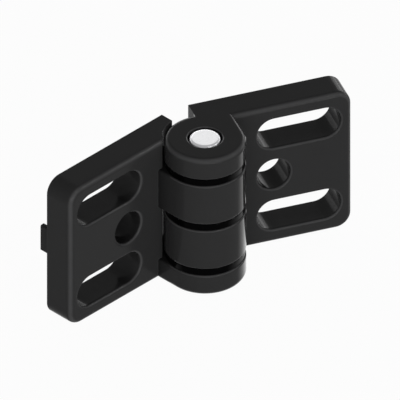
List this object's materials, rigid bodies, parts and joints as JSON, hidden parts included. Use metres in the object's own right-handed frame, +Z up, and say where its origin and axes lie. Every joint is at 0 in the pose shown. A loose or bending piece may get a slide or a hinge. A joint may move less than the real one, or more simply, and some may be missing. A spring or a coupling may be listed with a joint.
{
  "type": "hinge",
  "caption": "Black two-leaf hinge for slotted aluminium frames: thick slotted leaves on interleaved round knuckles, turning on a bright steel pin.",
  "frame": {"origin": "on the pin axis, at the level of the lower ends of the leaves and knuckles", "axes": "+Z up along the pin; -X along the left leaf to its free end; +Y out of the left leaf's mounting face; the barrel stands out to -Y; the right leaf is folded 25 degrees towards -Y"},
  "size_m": [0.0822, 0.0293, 0.04],
  "materials": {
    "leaf_coating": "satin black coating",
    "pin_steel": "turned bright steel",
    "bush_plastic": "smooth black bearing plastic"
  },
  "bodies": {
    "fixed_side": {"left_leaf": "leaf_coating", "hinge_pin": "pin_steel"},
    "swinging_side": {"right_leaf": "leaf_coating", "upper_bush": "bush_plastic", "middle_bush": "bush_plastic", "lower_bush": "bush_plastic"}
  },
  "joints": [
    {"name": "leaf_swing", "type": "hinge", "parent": "fixed_side", "child": "swinging_side", "pos_m": [0, 0, 0], "axis": [0, 0, -1], "range_deg": [-25, 155]}
  ]
}
